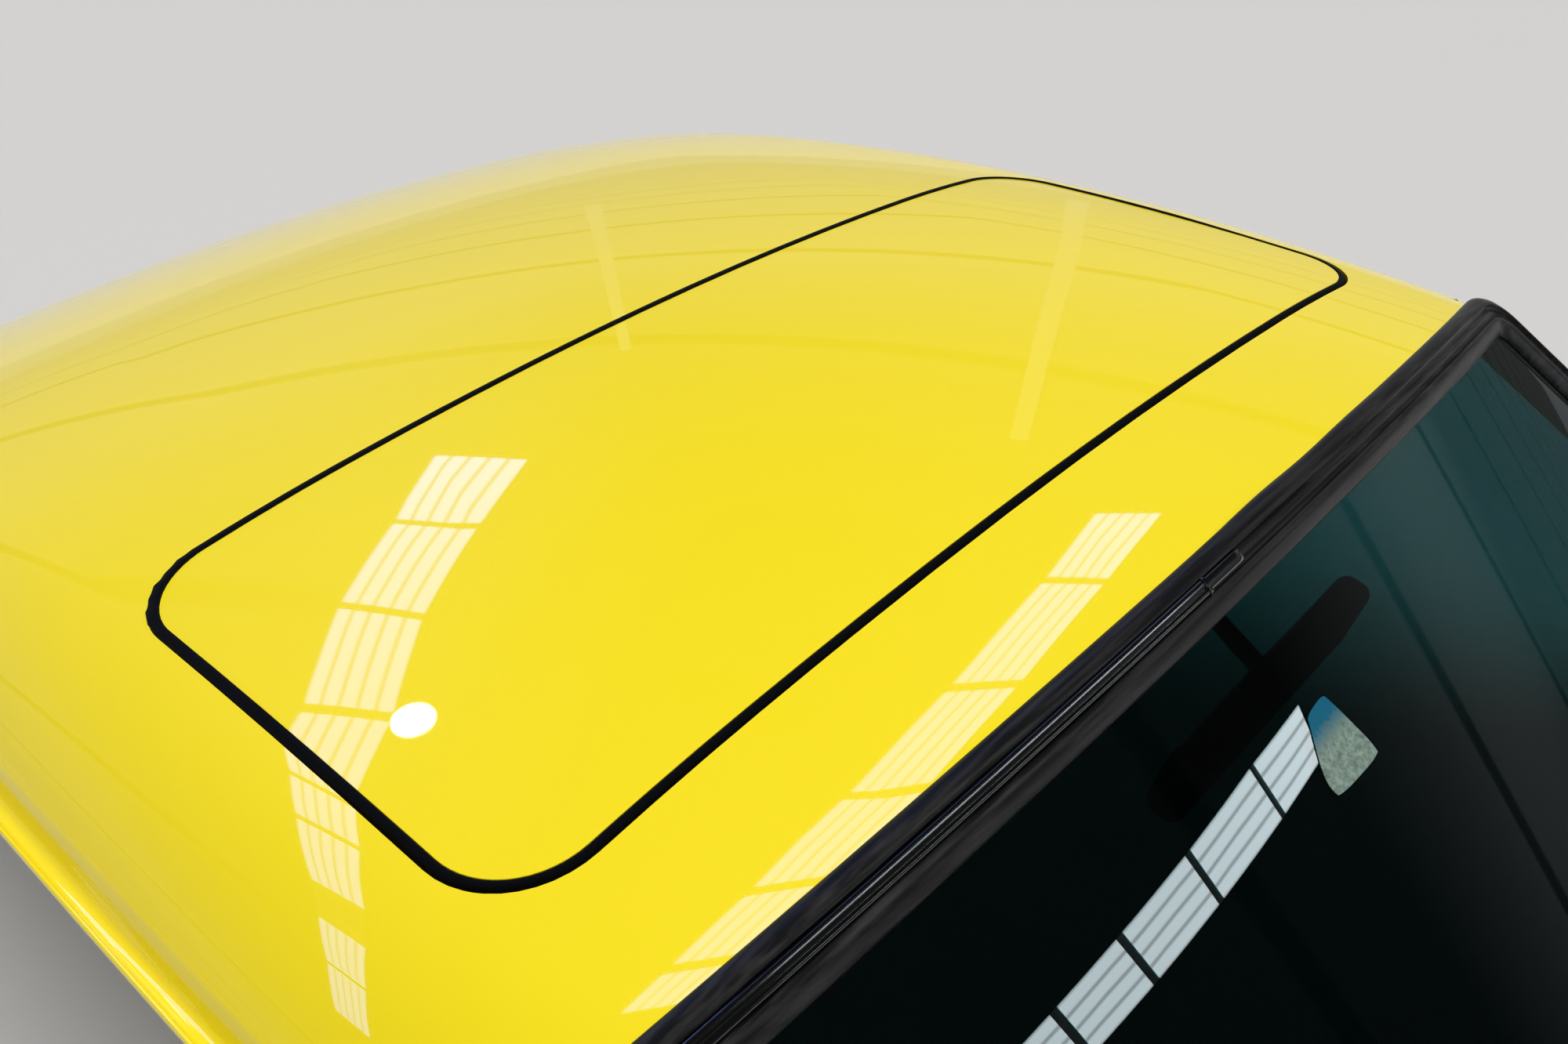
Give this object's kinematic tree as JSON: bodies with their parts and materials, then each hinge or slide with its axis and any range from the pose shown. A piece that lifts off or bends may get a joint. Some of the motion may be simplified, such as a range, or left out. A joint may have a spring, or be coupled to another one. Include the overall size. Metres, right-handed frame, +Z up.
{
  "type": "car roof section with sunroof and windscreen",
  "caption": "Roof section of a coupe cut from the body, with a tilting steel sunroof, a raked windscreen in its rubber seal, drip gutters and pillar stubs.",
  "frame": {"origin": "middle of the scuttle's flat underside, where the section sits on the car's body", "axes": "+Z up, +Y to the rear of the car, +X to the car's left"},
  "size_m": [1.436, 1.8455, 0.4171],
  "materials": {
    "paint_yellow": "gloss",
    "inner_steel": "satin",
    "zinc_steel": "satin",
    "rail_aluminium": "satin",
    "bright_steel": "polished",
    "black_plastic": "matte",
    "tinted_glass": "gloss",
    "black_rubber": "matte",
    "gloss_black": "gloss",
    "lining_cloth": "matte",
    "visor_vinyl": "matte",
    "lamp_lens": "satin"
  },
  "bodies": {
    "roof": {"roof_skin": "paint_yellow", "drip_gutter_left": "paint_yellow", "drip_gutter_right": "paint_yellow", "windscreen_pillar_left": "paint_yellow", "windscreen_pillar_right": "paint_yellow", "scuttle": "paint_yellow", "rear_pillar_left": "paint_yellow", "rear_pillar_right": "paint_yellow", "door_pillar_left": "paint_yellow", "door_pillar_right": "paint_yellow", "front_header": "inner_steel", "rear_header": "inner_steel", "roof_bow": "inner_steel", "side_rail_left": "inner_steel", "side_rail_right": "inner_steel", "sunroof_cassette": "zinc_steel", "guide_rail_left": "rail_aluminium", "guide_rail_right": "rail_aluminium", "front_shoe_left": "black_plastic", "front_shoe_right": "black_plastic", "rear_shoe_left": "black_plastic", "rear_shoe_right": "black_plastic", "visor_rod_left": "bright_steel", "visor_rod_right": "bright_steel", "windscreen": "tinted_glass", "windscreen_seal": "black_rubber", "trim_strip_right": "gloss_black", "trim_clip": "gloss_black", "headlining": "lining_cloth", "mirror": "black_plastic", "mirror_stalk": "black_plastic", "roof_lamp": "lamp_lens"},
    "sunroof": {"sunroof_panel": "paint_yellow", "sunroof_seal": "black_rubber", "sunroof_frame": "zinc_steel", "sunroof_board": "lining_cloth", "front_bracket_left": "zinc_steel", "front_bracket_right": "zinc_steel", "rear_bracket_left": "zinc_steel", "rear_bracket_right": "zinc_steel"},
    "lifter_left": {"lift_arm_left": "bright_steel"},
    "lifter_right": {"lift_arm_right": "bright_steel"},
    "visor_left": {"sun_visor_left": "visor_vinyl"},
    "visor_right": {"sun_visor_right": "visor_vinyl"}
  },
  "joints": [
    {"name": "sunroof_tilt", "type": "hinge", "parent": "roof", "child": "sunroof", "pos_m": [0, 0.526, 0.3991], "axis": [1, 0, 0], "range_deg": [0, 4.5]},
    {"name": "lifter_left_swing", "type": "hinge", "parent": "roof", "child": "lifter_left", "pos_m": [0.4375, 0.833, 0.34851], "axis": [1, 0, 0], "range_deg": [0, 44.6]},
    {"name": "lifter_right_swing", "type": "hinge", "parent": "roof", "child": "lifter_right", "pos_m": [-0.4375, 0.833, 0.34851], "axis": [1, 0, 0], "range_deg": [0, 44.6]},
    {"name": "visor_left_fold", "type": "hinge", "parent": "roof", "child": "visor_left", "pos_m": [0.245, 0.454, 0.32508], "axis": [-1, 0, 0], "range_deg": [0, 110]},
    {"name": "visor_right_fold", "type": "hinge", "parent": "roof", "child": "visor_right", "pos_m": [-0.245, 0.454, 0.32508], "axis": [-1, 0, 0], "range_deg": [0, 110]}
  ],
  "couplings": [
    {"joint": "lifter_left_swing", "follows": "sunroof_tilt", "ratio": 9.8889},
    {"joint": "lifter_right_swing", "follows": "sunroof_tilt", "ratio": 9.8889}
  ]
}
